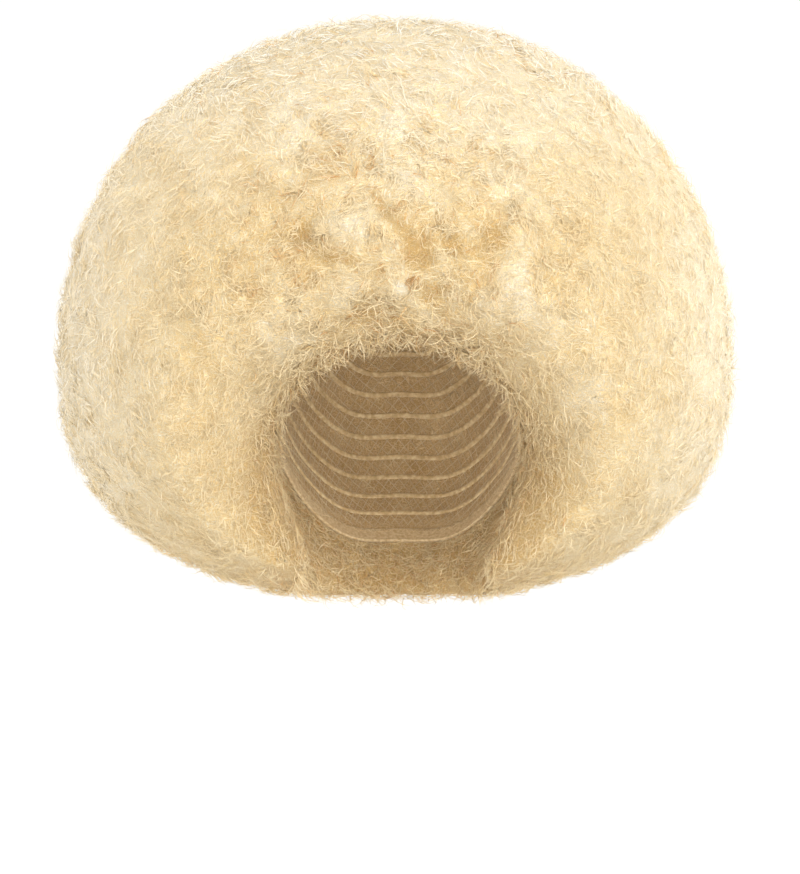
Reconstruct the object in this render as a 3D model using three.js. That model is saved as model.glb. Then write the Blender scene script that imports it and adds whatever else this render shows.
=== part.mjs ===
// An afro wig in the form it has when it is worn: a stretch net cap with an elastic edge band, and
// seven wefts of crimped fibre sewn in loops round the cap, teased out into one big ball of hair.
// Millimetres, +Z up, the face looks along -Y and the wearer's left is +X.
// The origin is the inside of the cap at the top of the crown, where the wig sits on a head.
import * as THREE from "three";

// The head that the cap is cut for
const headBreadth = 155;
const foreheadReach = 94; // from the line under the crown forward to the forehead
const occiputReach = 101; // and back to the back of the head
const crownHeight = 98; // from the widest level of the head up to the crown

// The cap
const capWall = 1.6;
const bandWidth = 12;
const bandWall = 2.4; // the elastic is thicker than the net, towards the head
const clearance = 0.4; // between pieces that touch

// The ball of hair, measured over the tips of its locks
const ballBreadth = 432;
const ballRise = 156; // from the crown up to the top of the hair
const widestDrop = 64; // from the crown down to the widest level
const ballDrop = 216; // from the crown down to the lowest hair
const ballFront = 154; // from the line under the crown forward
const ballBack = 228; // and back
const ballAside = -3; // the hair is fuller on the wearer's right

// How square the ball is in plan, above its widest level and below it: 2 is an ellipse
const planPower = 2.1;
const upperPower = 2.06;
const lowerPower = 2.36;

// The hair where it ends over the cap's rim
const hairline = 5; // thickness of the hair there
const hairOverhang = 2; // the hair ends this far beyond the rim
const shoulder = 8; // hair of the last seam stands straight out this far before it falls

// The locks that the outer form is made of
const lockSpacing = 40;
const lockRadius = 28;
const lockDepth = 11;

// The wefts run in loops round the swirl, which lies behind the top of the head.
const weftCount = 7;
const swirlTilt = THREE.MathUtils.degToRad(42);
const columns = 74; // steps round each loop
const strips = 5; // steps down the outside of each weft
const rimStrips = 9; // the last weft rolls in to the rim, so its outside is longer

// Shape of the rim by the turn round the swirl, from 0 at the face to 180 at the nape, in degrees.
// rim is the fall from the swirl to the cap's rim, seen from the middle of the head.
// lip is the fall to where the ball ends and rolls in to the rim, seen from the middle of the ball.
// lean is how far the hair at the rim leans from straight out towards the opening.
const rimTable = [
  { place: "forehead", turn: 0, rim: 102.5, lip: 106, lean: 24 },
  { place: "brow corner", turn: 25, rim: 104, lip: 108, lean: 26 },
  { place: "temple", turn: 48, rim: 106, lip: 116, lean: 36 },
  { place: "sideburn", turn: 72, rim: 109, lip: 135, lean: 60 },
  { place: "ear tab", turn: 92, rim: 111, lip: 151, lean: 78 },
  { place: "over the ear", turn: 112, rim: 102, lip: 154, lean: 82 },
  { place: "behind the ear", turn: 134, rim: 103.5, lip: 145, lean: 76 },
  { place: "nape corner", turn: 157, rim: 106, lip: 135, lean: 68 },
  { place: "nape", turn: 180, rim: 101.5, lip: 130, lean: 64 },
];
const rollShare = 0.2; // of the hair's outside, taken by the roll from lip to rim
const lastWeftShare = 0.26; // of the hair's outside, taken by the last weft
const lipHandle = 0.45; // how far the roll follows the ball, as a share of its span
const rimHandle = 0.35; // how far it follows the hair at the rim

const headCentre = new THREE.Vector3(0, 0, -crownHeight);
const ballMiddle = (ballBack - ballFront) / 2;
const ballCentre = new THREE.Vector3(ballAside, ballMiddle, -widestDrop);

// A smooth curve through one column of the table, level at the face and at the nape.
function smoothColumn(name) {
  const curve = new THREE.CubicInterpolant(
    rimTable.map((row) => row.turn),
    rimTable.map((row) => row[name]),
    1,
    [],
  );
  curve.settings = {
    endingStart: THREE.ZeroSlopeEnding,
    endingEnd: THREE.ZeroSlopeEnding,
  };
  return (turn) => {
    const side = Math.abs(THREE.MathUtils.euclideanModulo(turn + 180, 360) - 180);
    return THREE.MathUtils.degToRad(curve.evaluate(side)[0]);
  };
}
const rimFall = smoothColumn("rim");
const lipFall = smoothColumn("lip");
const rimLean = smoothColumn("lean");

// Unit vector at a turn round the swirl, in degrees, and a fall from it, in radians.
const swirl = new THREE.Vector3(0, Math.sin(swirlTilt), Math.cos(swirlTilt));
const faceward = new THREE.Vector3(0, -Math.cos(swirlTilt), Math.sin(swirlTilt));
const leftward = new THREE.Vector3(1, 0, 0);
function direction(turn, fall) {
  const angle = THREE.MathUtils.degToRad(turn);
  const across = faceward
    .clone()
    .multiplyScalar(Math.cos(angle))
    .addScaledVector(leftward, Math.sin(angle));
  return swirl
    .clone()
    .multiplyScalar(Math.cos(fall))
    .addScaledVector(across, Math.sin(fall));
}

// The head: two half ellipsoids, one in front of the ears and one behind.
function headPoint(turn, fall, offset) {
  const way = direction(turn, fall);
  const reach = way.y < 0 ? foreheadReach : occiputReach;
  const radius = 1 / Math.hypot(way.x / (headBreadth / 2), way.y / reach, way.z / crownHeight);
  return headCentre.clone().addScaledVector(way, radius + offset);
}

// The ball: a rounded box in the sense of its three powers, all near 2.
const powerSum = (a, b, power) => (a ** power + b ** power) ** (1 / power);
function ballPoint(turn, fall) {
  const way = direction(turn, fall);
  const across = Math.abs(way.x) / (ballBreadth / 2);
  const along = Math.abs(way.y) / ((ballFront + ballBack) / 2);
  const rises = way.z > 0;
  const level = Math.abs(way.z) / (rises ? ballRise + widestDrop : ballDrop - widestDrop);
  const plan = powerSum(across, along, planPower);
  const size = powerSum(plan, level, rises ? upperPower : lowerPower);
  return ballCentre.clone().addScaledVector(way, 1 / size);
}

// A point on the cap's surface: share 0 is the swirl and 1 the rim.
const capSurface = (turn, share, offset) => headPoint(turn, rimFall(turn) * share, offset);

// The share that a small width takes on a surface, measured just above a level.
function widthShare(surface, turn, share, width) {
  const small = 0.01;
  const step = surface(turn, share, capWall).distanceTo(surface(turn, share - small, capWall));
  return (width * small) / step;
}
const capEnd = (turn) => 1 - widthShare(capSurface, turn, 1, bandWidth + clearance);
const bandStart = (turn) => 1 - widthShare(capSurface, turn, 1, bandWidth);

// The roll from the ball's lip in to the rim, as a curve that leaves the ball smoothly.
function rollCurve(turn) {
  const small = 0.01;
  const lip = ballPoint(turn, lipFall(turn));
  const along = lip.clone().sub(ballPoint(turn, lipFall(turn) - small)).normalize();
  const beyond = widthShare(capSurface, turn, 1, hairOverhang);
  const end = capSurface(turn, 1 + beyond, capWall + hairline);
  const outward = end.clone().sub(headCentre).normalize();
  const openward = direction(turn, rimFall(turn) + Math.PI / 2);
  const leaning = outward
    .multiplyScalar(Math.cos(rimLean(turn)))
    .addScaledVector(openward, Math.sin(rimLean(turn)));
  const span = lip.distanceTo(end);
  return new THREE.CubicBezierCurve3(
    lip,
    lip.clone().addScaledVector(along, lipHandle * span),
    end.clone().addScaledVector(leaning, rimHandle * span),
    end,
  );
}

// The smooth outside of the hair: share 0 is the swirl and 1 the rim.
function hairSurface(turn, share) {
  const lipShare = 1 - rollShare;
  if (share <= lipShare) return ballPoint(turn, (lipFall(turn) * share) / lipShare);
  return rollCurve(turn).getPoint((share - lipShare) / rollShare);
}

// A number from 0 to 1 that looks random but is the same each time.
const scatter = (seed) => THREE.MathUtils.euclideanModulo(Math.sin(seed * 12.9898) * 43758.5453, 1);

// The locks stand in tiers round the swirl, each lock between two of the tier above.
function placeLocks() {
  const locks = [];
  const rings = 60;
  let run = 0;
  for (let i = 1; i <= rings; i++)
    run += hairSurface(90, i / rings).distanceTo(hairSurface(90, (i - 1) / rings));
  const tiers = Math.round(run / lockSpacing);
  for (let tier = 0; tier < tiers; tier++) {
    const share = (tier + 0.35) / tiers;
    let round = 0;
    for (let i = 1; i <= rings; i++) {
      const turn = (360 * i) / rings;
      round += hairSurface(turn, share).distanceTo(hairSurface(turn - 360 / rings, share));
    }
    const count = Math.max(1, Math.round(round / lockSpacing));
    for (let k = 0; k < count; k++) {
      const seed = locks.length + 1;
      const turn = (360 * (k + (tier % 2) / 2 + 0.35 * (scatter(seed) - 0.5))) / count;
      const nudged = share + (0.3 * (scatter(seed + 0.5) - 0.5)) / tiers;
      locks.push({
        centre: hairSurface(turn, nudged),
        radius: lockRadius * (0.9 + 0.25 * scatter(seed + 0.25)),
        depth: lockDepth * (0.65 + 0.35 * scatter(seed + 0.75)),
      });
    }
  }
  return locks;
}
const locks = placeLocks();

// How high the locks stand over the backing at a point: each is a dome, fused to its neighbours.
function lockHeight(point) {
  let height = 0;
  for (const { centre, radius, depth } of locks) {
    const distance = point.distanceTo(centre) / radius;
    if (distance < 1) height = Math.max(height, depth * (1 - distance * distance));
  }
  return height;
}

// The outside of the hair with its locks. They fade out towards the thin edge at the rim.
function lockedSurface(turn, share) {
  const smooth = hairSurface(turn, share);
  const root = capSurface(turn, share, capWall);
  const growth = smooth.clone().sub(root);
  const fade = Math.min(1, (growth.length() - hairline) / (3 * lockDepth));
  const sunk = Math.max(0, fade) * (lockDepth - lockHeight(smooth));
  return smooth.addScaledVector(growth.normalize(), -sunk);
}

// A closed solid from sections round the swirl. section(turn) lists its points in order, going
// down the outside and back up the inside. With poles, its first and last points are the same
// at every turn. Quads split the same way on facing walls, so that neighbours stay clear.
function loopSolid(section, poles) {
  const rings = [];
  for (let i = 0; i < columns; i++) rings.push(section((360 * i) / columns));
  const length = rings[0].length;
  const positions = [];
  const index = rings.map((ring) =>
    ring.map((point, k) => {
      const isPole = poles && (k === 0 || k === length - 1);
      if (isPole && ring !== rings[0]) return k === 0 ? 0 : length - 1;
      positions.push(...point.toArray());
      return positions.length / 3 - 1;
    }),
  );
  const faces = [];
  const addFace = (a, b, c) => {
    if (a !== b && b !== c && c !== a) faces.push(a, b, c);
  };
  for (let i = 0; i < columns; i++) {
    const here = index[i];
    const next = index[(i + 1) % columns];
    const spans = poles ? length - 1 : length;
    for (let k = 0; k < spans; k++) {
      const m = (k + 1) % length;
      const goesOut =
        rings[i][m].distanceTo(headCentre) > rings[i][k].distanceTo(headCentre);
      if (goesOut) {
        addFace(here[k], here[m], next[m]);
        addFace(here[k], next[m], next[k]);
      } else {
        addFace(here[k], here[m], next[k]);
        addFace(next[k], here[m], next[m]);
      }
    }
  }
  const geometry = new THREE.BufferGeometry();
  geometry.setAttribute("position", new THREE.Float32BufferAttribute(positions, 3));
  geometry.setIndex(faces);
  geometry.computeVertexNormals();
  return geometry;
}

// Shares from one level to another in equal steps, both ends included.
const levels = (from, to, steps) =>
  Array.from({ length: steps + 1 }, (_, i) => from + ((to - from) * i) / steps);

// The net cap: a shell over the head from the swirl to the elastic.
function capGeometry() {
  const section = (turn) => {
    const shares = levels(0, weftCount - 1, weftCount - 1).map((i) => i / weftCount);
    shares.push(capEnd(turn));
    const outside = shares.map((share) => capSurface(turn, share, capWall));
    const inside = shares.map((share) => capSurface(turn, share, 0));
    return [...outside, ...inside.reverse()];
  };
  return loopSolid(section, true);
}

// The elastic that finishes the cap all round its rim.
function bandGeometry() {
  const section = (turn) => [
    capSurface(turn, bandStart(turn), capWall),
    capSurface(turn, 1, capWall),
    capSurface(turn, 1, capWall - bandWall),
    capSurface(turn, bandStart(turn), capWall - bandWall),
  ];
  return loopSolid(section, false);
}

// One weft: a loop of hair from the cap out to the ball, between two levels. The first is the
// tuft over the swirl, and the last rolls in to the rim.
function weftGeometry(number) {
  const isFirst = number === 1;
  const isLast = number === weftCount;
  const seamAt = (count) => count / weftCount;
  const partingAt = (count) =>
    count === weftCount ? 1 : (count / (weftCount - 1)) * (1 - lastWeftShare);
  const section = (turn) => {
    const between = (surface, levelAt) => {
      const gapAt = (share) => widthShare(surface, turn, share, clearance / 2);
      const top = levelAt(number - 1);
      const bottom = levelAt(number);
      return [isFirst ? top : top + gapAt(top), isLast ? bottom : bottom - gapAt(bottom)];
    };
    const outside = levels(...between(hairSurface, partingAt), isLast ? rimStrips : strips);
    const [upperSeam, lowerSeam] = between(capSurface, seamAt);
    const inside = isLast ? [lowerSeam, capEnd(turn), upperSeam] : [lowerSeam, upperSeam];
    const root = capWall + clearance;
    const points = [
      ...outside.map((share) => lockedSurface(turn, share)),
      ...inside.map((share) => capSurface(turn, share, root)),
    ];
    const overLastSeam = (share) => capSurface(turn, share, root + shoulder);
    if (number === weftCount - 1) points.splice(outside.length, 0, overLastSeam(lowerSeam));
    if (isLast) points.push(overLastSeam(upperSeam));
    return points;
  };
  return loopSolid(section, isFirst);
}

const hairMaterial = new THREE.MeshStandardMaterial({
  name: "crimped blonde fibre",
  color: 0xf1deb4,
  roughness: 0.85,
  metalness: 0,
});
const netMaterial = new THREE.MeshStandardMaterial({
  name: "stretch net",
  color: 0xd8c09a,
  roughness: 0.9,
  metalness: 0,
});
const elasticMaterial = new THREE.MeshStandardMaterial({
  name: "woven elastic",
  color: 0xcbb088,
  roughness: 0.8,
  metalness: 0,
});

function namedMesh(name, geometry, material) {
  const mesh = new THREE.Mesh(geometry, material);
  mesh.name = name;
  return mesh;
}

const wig = new THREE.Group();
wig.name = "afro_wig";
wig.add(namedMesh("net_cap", capGeometry(), netMaterial));
wig.add(namedMesh("edge_band", bandGeometry(), elasticMaterial));
for (let number = 1; number <= weftCount; number++)
  wig.add(namedMesh(`weft_${number}`, weftGeometry(number), hairMaterial));

export default wig;
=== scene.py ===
# %% [markdown]
# # A large round afro wig
#
# The real thing is a stretch net cap with an elastic edge. Crimped fibre hangs from wefts that are
# sewn round it in loops, and it is teased out until it stands as one ball of hair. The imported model
# gives the size and the form. This script adds a soft mass for each loop, tens of thousands of
# curls on it, and the net, the seams and the elastic inside.

import itertools

import bmesh
import bpy
import numpy as np
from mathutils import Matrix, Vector


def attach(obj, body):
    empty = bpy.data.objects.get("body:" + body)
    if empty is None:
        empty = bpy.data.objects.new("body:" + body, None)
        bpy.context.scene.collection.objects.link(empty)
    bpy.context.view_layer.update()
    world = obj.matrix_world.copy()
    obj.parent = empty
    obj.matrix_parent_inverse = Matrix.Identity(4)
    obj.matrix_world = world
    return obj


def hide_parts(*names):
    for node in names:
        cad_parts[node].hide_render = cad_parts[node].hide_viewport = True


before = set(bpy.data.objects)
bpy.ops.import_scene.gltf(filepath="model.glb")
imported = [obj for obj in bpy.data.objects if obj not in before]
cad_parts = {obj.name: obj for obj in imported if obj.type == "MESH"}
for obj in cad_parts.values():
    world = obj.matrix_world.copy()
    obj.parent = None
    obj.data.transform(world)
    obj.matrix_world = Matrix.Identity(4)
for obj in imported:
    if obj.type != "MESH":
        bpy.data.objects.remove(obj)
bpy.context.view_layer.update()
MM = 0.001
WEFTS = 7
rng = np.random.default_rng(20)
print("solids:", sorted(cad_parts))

# %% [markdown]
# ## The camera
#
# The camera looks level at the face opening from a little over two metres, as for a portrait. A
# long lens keeps the ball from looking swollen in front.

# %% Camera
def add_object(name, data):
    """A new object in the scene, from a mesh, a light or a camera."""
    made = bpy.data.objects.new(name, data)
    bpy.context.scene.collection.objects.link(made)
    return made


CAMERA_DISTANCE = 2.1
CAMERA_LEVEL = -0.111
FIELD_WIDTH = 0.5008  # at the origin's distance

camera_data = bpy.data.cameras.new("portrait camera")
camera_data.sensor_fit = "HORIZONTAL"
camera_data.lens = camera_data.sensor_width * CAMERA_DISTANCE / FIELD_WIDTH
camera = add_object("portrait camera", camera_data)
camera.location = (0, -CAMERA_DISTANCE, CAMERA_LEVEL)
camera.rotation_euler = (np.pi / 2, 0, 0)
bpy.context.scene.camera = camera
print("lens:", round(camera_data.lens, 1), "mm")

# %% [markdown]
# ## Meshes from whole arrays
#
# Every piece is a set of points and faces worked out by numpy, and most are grids whose columns
# close on themselves. Whole arrays go into Blender at once, with no loop over them.

# %% Mesh helpers
def even_turns(count):
    """Angles that divide a full turn evenly."""
    return np.arange(count) * 2 * np.pi / count


def grid_faces(rows, columns, closed_rows):
    """Quads of a grid of points, numbered row by row. The columns close on themselves, and with
    closed_rows the last row joins the first."""
    spans = rows if closed_rows else rows - 1
    r, c = np.meshgrid(np.arange(spans), np.arange(columns), indexing="ij")
    below = (r + 1) % rows
    beside = (c + 1) % columns
    corners = [r * columns + c, below * columns + c, below * columns + beside, r * columns + beside]
    return np.stack(corners, -1).reshape(-1, 4)


def put_mesh(name, points, faces, material, tone=None):
    """Makes an object at the origin from points in millimetres and faces of equal size."""
    mesh = bpy.data.meshes.new(name)
    mesh.vertices.add(len(points))
    mesh.vertices.foreach_set("co", (points * MM).astype(np.float32).ravel())
    mesh.loops.add(faces.size)
    mesh.loops.foreach_set("vertex_index", faces.astype(np.int32).ravel())
    mesh.polygons.add(len(faces))
    mesh.polygons.foreach_set("loop_start", np.arange(0, faces.size, faces.shape[1], dtype=np.int32))
    mesh.polygons.foreach_set("use_smooth", np.ones(len(faces), dtype=bool))
    mesh.update(calc_edges=True)
    if tone is not None:
        layer = mesh.attributes.new("tone", "FLOAT", "POINT")
        layer.data.foreach_set("value", tone.astype(np.float32))
    mesh.materials.append(material)
    piece = add_object(name, mesh)
    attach(piece, "root")
    print(name, len(faces), "faces")
    return piece


# %% [markdown]
# ## Materials from nodes
#
# Each material is one Principled shader with a few nodes before it, which one helper adds and
# links. Colours are hex values, as on a colour card, turned to linear light.

# %% Material helpers
def linear(hex_code):
    """Linear RGBA from an sRGB hex value: a straight part near black, and above it a power of 2.4."""
    srgb = np.array([int(hex_code[i:i + 2], 16) for i in (1, 3, 5)]) / 255
    light = np.where(srgb <= 0.04045, srgb / 12.92, ((srgb + 0.055) / 1.055) ** 2.4)
    return (*light, 1)


def add_node(tree, kind, inputs=None, **settings):
    """Adds a shader node. An input is a value, or another node's output to link."""
    node = tree.nodes.new("ShaderNode" + kind)
    for name, value in settings.items():
        setattr(node, name, value)
    for name, value in (inputs or {}).items():
        if isinstance(value, bpy.types.NodeSocket):
            tree.links.new(value, node.inputs[name])
        else:
            node.inputs[name].default_value = value
    return node


def add_ramp(tree, factor, stops):
    """Colour ramp through (place, hex colour) stops."""
    ramp = add_node(tree, "ValToRGB", {"Fac": factor})
    elements = ramp.color_ramp.elements
    for place, hex_code in stops[1:-1]:
        elements.new(place)
    for element, (place, hex_code) in zip(elements, stops):
        element.position = place
        element.color = linear(hex_code)
    return ramp.outputs["Color"]


def new_material(name, settings):
    """A material with one Principled shader, and the tree to add nodes to."""
    material = bpy.data.materials.new(name)
    material.use_nodes = True
    tree = material.node_tree
    tree.nodes.clear()
    shader = add_node(tree, "BsdfPrincipled", settings)
    add_node(tree, "OutputMaterial", {"Surface": shader.outputs["BSDF"]})
    return material, tree, shader


def add_noise(tree, place, size, detail):
    """Noise whose largest patches are as big as size, in metres."""
    return add_node(tree, "TexNoise", {"Vector": place, "Scale": 1 / size, "Detail": detail}).outputs


def add_bump(tree, shader, height, strength, distance):
    """Makes the surface seem to rise with a height, by a distance in millimetres."""
    bump = add_node(tree, "Bump", {"Height": height, "Strength": strength,
                                   "Distance": distance * MM})
    tree.links.new(bump.outputs["Normal"], shader.inputs["Normal"])


# %% [markdown]
# ## The room
#
# A wig is shown against plain white, so that nothing competes with its soft edge. A wide white
# floor lies well below it and runs out to a bright horizon. Near the wig it only reflects, because
# light from below would lift the shade under the ball.

# %% Floor and horizon
FLOOR_LEVEL = -0.62
FLOOR_RADIUS, FLOOR_SIDES = 14, 64
FLOOR_GLOW = 0.65
GLOW_START, GLOW_FULL = 1.1, 1.9  # distances from the wig over which the floor begins to glow
HORIZON_GLOW, SKY_GLOW = 1.05, 0.42
HORIZON_TOP, SKY_START = 0.16, 0.5  # heights of the view's direction, as sines


def make_floor():
    """Round sheet of matt paper, too rough to reflect the wig, which glows more further away."""
    material, tree, shader = new_material("white paper floor", {
        "Base Color": linear("#eeedeb"), "Roughness": 0.9, "Emission Color": (1, 1, 1, 1)})
    place = add_node(tree, "TexCoord").outputs["Object"]
    distance = add_node(tree, "VectorMath", {0: place}, operation="LENGTH")
    glow = add_node(tree, "MapRange", {"Value": distance.outputs["Value"], "To Max": FLOOR_GLOW,
                                       "From Min": GLOW_START, "From Max": GLOW_FULL})
    tree.links.new(glow.outputs["Result"], shader.inputs["Emission Strength"])
    angle = even_turns(FLOOR_SIDES)
    rim = np.stack([np.cos(angle) * FLOOR_RADIUS, np.sin(angle) * FLOOR_RADIUS,
                    np.full(FLOOR_SIDES, FLOOR_LEVEL)], -1)
    mesh = bpy.data.meshes.new("paper_floor")
    mesh.from_pydata(rim.tolist(), [], [list(range(FLOOR_SIDES))])
    mesh.materials.append(material)
    add_object("paper_floor", mesh)


def make_world():
    """Sky whose brightness falls from the horizon to a height by an S-curve."""
    world = bpy.data.worlds.new("bright studio")
    world.use_nodes = True
    tree = world.node_tree
    way = add_node(tree, "TexCoord").outputs["Generated"]
    height = add_node(tree, "SeparateXYZ", {"Vector": way}).outputs["Z"]
    glow = add_node(tree, "MapRange", {"Value": height, "To Min": HORIZON_GLOW, "To Max": SKY_GLOW,
                                       "From Min": HORIZON_TOP, "From Max": SKY_START},
                    interpolation_type="SMOOTHSTEP")
    background = tree.nodes["Background"]
    background.inputs["Color"].default_value = linear("#fffdfa")
    tree.links.new(glow.outputs["Result"], background.inputs["Strength"])
    bpy.context.scene.world = world
    bpy.context.scene.view_settings.view_transform = "Standard"


make_floor()
make_world()
print("floor at", FLOOR_LEVEL, "m")

# %% [markdown]
# ## The lights
#
# Large softboxes light it, because a small lamp would draw hard shadows in the hair. The key stands
# above the camera on the right, weak ones on the left and low in front lift the shade, one hangs
# overhead, and one behind each side makes the edge glow.

# %% Softboxes
LIGHT_AIM = Vector((0, 0.04, -0.03))


def add_softbox(name, place, size, power, hex_code):
    """Square area light at a place, in metres, turned to face the wig."""
    light = bpy.data.lights.new(name, "AREA")
    light.shape = "SQUARE"
    light.size = size
    light.energy = power
    light.color = linear(hex_code)[:3]
    lamp = add_object(name, light)
    lamp.location = place
    lamp.rotation_euler = (LIGHT_AIM - Vector(place)).to_track_quat("-Z", "Y").to_euler()


add_softbox("key softbox", (1.1, -2.0, 1.4), 1.3, 42, "#fffbf6")
add_softbox("fill softbox", (-1.7, -1.7, -0.1), 1.5, 10, "#fff8f0")
add_softbox("front softbox", (0.2, -2.3, -0.3), 1.2, 11, "#fff8f0")
add_softbox("top softbox", (0, 0.2, 1.9), 1.4, 16, "#ffffff")
add_softbox("left rim softbox", (-1.7, 1.1, 0.3), 1.2, 12, "#ffffff")
add_softbox("right rim softbox", (1.7, 1.1, 0.3), 1.2, 15, "#ffffff")
print("softboxes:", len(bpy.data.lights))

# %% [markdown]
# ## The form of the ball
#
# The hair's outside is a function of two numbers. The turn runs round the swirl, behind the top of
# the head, and the share runs from the swirl, 0, to the cap's rim, 1. Up to the lip the surface is
# a ball, a little squarer than an ellipsoid, and from there a curve rolls in to the rim. The sizes
# are those of the solids, in millimetres.

# %% Sizes of the head, the ball and the rim
HEAD_BREADTH, FOREHEAD_REACH, OCCIPUT_REACH, CROWN_HEIGHT = 155, 94, 101, 98
CAP_WALL, BAND_WIDTH, BAND_WALL, CLEARANCE = 1.6, 12, 2.4, 0.4
BALL_BREADTH, BALL_RISE, WIDEST_DROP, BALL_DROP = 432, 156, 64, 216
BALL_FRONT, BALL_BACK, BALL_ASIDE = 154, 228, -3
PLAN_POWER, UPPER_POWER, LOWER_POWER = 2.1, 2.06, 2.36
HAIRLINE, HAIR_OVERHANG, SHOULDER = 5, 2, 8
LOCK_SPACING, LOCK_RADIUS, LOCK_DEPTH = 40, 28, 11
ROLL_SHARE, LAST_WEFT_SHARE, LIP_HANDLE, RIM_HANDLE = 0.2, 0.26, 0.45, 0.35
SWIRL_TILT = np.radians(42)

# turn, fall of the rim, fall of the lip and lean of the hair at the rim, in degrees
RIM_TABLE = np.array([
    (0, 102.5, 106, 24),     # middle of the brow
    (25, 104, 108, 26),      # brow corner
    (48, 106, 116, 36),      # temple
    (72, 109, 135, 60),      # sideburn
    (92, 111, 151, 78),      # ear tab
    (112, 102, 154, 82),     # over the ear
    (134, 103.5, 145, 76),   # behind the ear
    (157, 106, 135, 68),     # nape corner
    (180, 101.5, 130, 64),   # nape
])

HEAD_CENTRE = np.array([0, 0, -CROWN_HEIGHT])
BALL_CENTRE = np.array([BALL_ASIDE, (BALL_BACK - BALL_FRONT) / 2, -WIDEST_DROP])
SWIRL = np.array([0, np.sin(SWIRL_TILT), np.cos(SWIRL_TILT)])
FACEWARD = np.array([0, -np.cos(SWIRL_TILT), np.sin(SWIRL_TILT)])
LEFTWARD = np.array([1, 0, 0])


# %% [markdown]
# ## Curves of the rim
#
# A table holds how the rim and the hair's lip rise and fall round the head. A smooth curve runs
# through each of its columns, so that no row shows as a corner.

# %% Smooth columns of the table
def smooth_column(column):
    """Curve through a column of the table: cubics, whose slope at a row is the mean of the two steps
    that meet there, and 0 at both ends."""
    turns, values = RIM_TABLE[:, 0], RIM_TABLE[:, column]
    steps = np.diff(values) / np.diff(turns)
    slopes = np.concatenate([[0], (steps[1:] + steps[:-1]) / 2, [0]])

    def value_at(turn):
        """Value in radians at a turn. Both sides of the head are the same."""
        side = np.degrees(np.abs((turn + np.pi) % (2 * np.pi) - np.pi))
        i = np.clip(np.searchsorted(turns, side, "right") - 1, 0, len(turns) - 2)
        width = turns[i + 1] - turns[i]
        t = (side - turns[i]) / width
        start = (1 + 2 * t) * (1 - t) ** 2 * values[i] + t * (1 - t) ** 2 * width * slopes[i]
        end = t ** 2 * (3 - 2 * t) * values[i + 1] - t ** 2 * (1 - t) * width * slopes[i + 1]
        return np.radians(start + end)

    return value_at


rim_fall, lip_fall, rim_lean = (smooth_column(column) for column in (1, 2, 3))
print("rim's fall at the ear tab:", round(float(np.degrees(rim_fall(np.radians(92)))), 1), "degrees")

# %% [markdown]
# ## The head, the ball and the roll
#
# The cap could be modelled by hand, but a formula keeps cap, seams and hair exactly on each other.
# A direction is a turn and a fall from the swirl, and each surface says how far out it lies there.

# %% The head and the cap
def unit(vectors):
    """Vectors divided by their lengths."""
    return vectors / np.maximum(np.linalg.norm(vectors, axis=-1, keepdims=True), 1e-9)


def direction(turn, fall):
    """Unit vector at an angle of fall from the swirl, and a turn round it from the face."""
    across = np.cos(turn)[..., None] * FACEWARD + np.sin(turn)[..., None] * LEFTWARD
    return np.cos(fall)[..., None] * SWIRL + np.sin(fall)[..., None] * across


def head_size(vectors):
    """Length of vectors from the head's centre, where 1 reaches its surface: each part is divided by
    the reach of two half ellipsoids that meet over the ears."""
    reach = np.where(vectors[..., 1] < 0, FOREHEAD_REACH, OCCIPUT_REACH)
    scaled = np.stack([vectors[..., 0] / (HEAD_BREADTH / 2), vectors[..., 1] / reach,
                       vectors[..., 2] / CROWN_HEIGHT], -1)
    return np.linalg.norm(scaled, axis=-1)


def head_point(turn, fall, offset):
    """Point of the head's surface in a direction, moved out by the offset."""
    way = direction(turn, fall)
    return HEAD_CENTRE + way * (1 / head_size(way) + offset)[..., None]


def cap_surface(turn, share, offset):
    """The head where the fall is a share of the rim's fall."""
    return head_point(turn, rim_fall(turn) * share, offset)


# %% The ball and the roll
def power_sum(a, b, power):
    """Root of the sum of two powers, which is the usual length where the power is 2."""
    return (a ** power + b ** power) ** (1 / power)


def ball_point(turn, fall):
    """Ellipsoid with powers a little over 2 in place of squares, which makes it fuller."""
    way = direction(turn, fall)
    plan = power_sum(np.abs(way[..., 0]) / (BALL_BREADTH / 2),
                     np.abs(way[..., 1]) / ((BALL_FRONT + BALL_BACK) / 2), PLAN_POWER)
    rises = way[..., 2] > 0
    height = np.where(rises, BALL_RISE + WIDEST_DROP, BALL_DROP - WIDEST_DROP)
    power = np.where(rises, UPPER_POWER, LOWER_POWER)
    return BALL_CENTRE + way / power_sum(plan, np.abs(way[..., 2]) / height, power)[..., None]


SMALL_STEP = 0.01  # of a share or of a radian, to measure a slope with


def width_share(surface, turn, share, width):
    """Share that a small width takes on a surface: the width over the length of a small step just
    above a level, times that step."""
    step = surface(turn, share) - surface(turn, share - SMALL_STEP)
    return width * SMALL_STEP / np.linalg.norm(step, axis=-1)


def cap_outside(turn, share):
    """Outer face of the cap's net."""
    return cap_surface(turn, share, CAP_WALL)


def roll_point(turn, t):
    """Cubic Bezier curve from the ball's lip in to the rim. It leaves along the ball, and comes in
    along the hair, which leans towards the opening."""
    lip = ball_point(turn, lip_fall(turn))
    along = unit(lip - ball_point(turn, lip_fall(turn) - SMALL_STEP))
    beyond = width_share(cap_outside, turn, 1.0, HAIR_OVERHANG)
    end = cap_surface(turn, 1 + beyond, CAP_WALL + HAIRLINE)
    lean = rim_lean(turn)[..., None]
    openward = direction(turn, rim_fall(turn) + np.pi / 2)
    leaning = np.cos(lean) * unit(end - HEAD_CENTRE) + np.sin(lean) * openward
    span = np.linalg.norm(end - lip, axis=-1, keepdims=True)
    t = t[..., None]
    return ((1 - t) ** 3 * lip + 3 * t * (1 - t) ** 2 * (lip + LIP_HANDLE * span * along)
            + 3 * t ** 2 * (1 - t) * (end + RIM_HANDLE * span * leaning) + t ** 3 * end)


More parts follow.
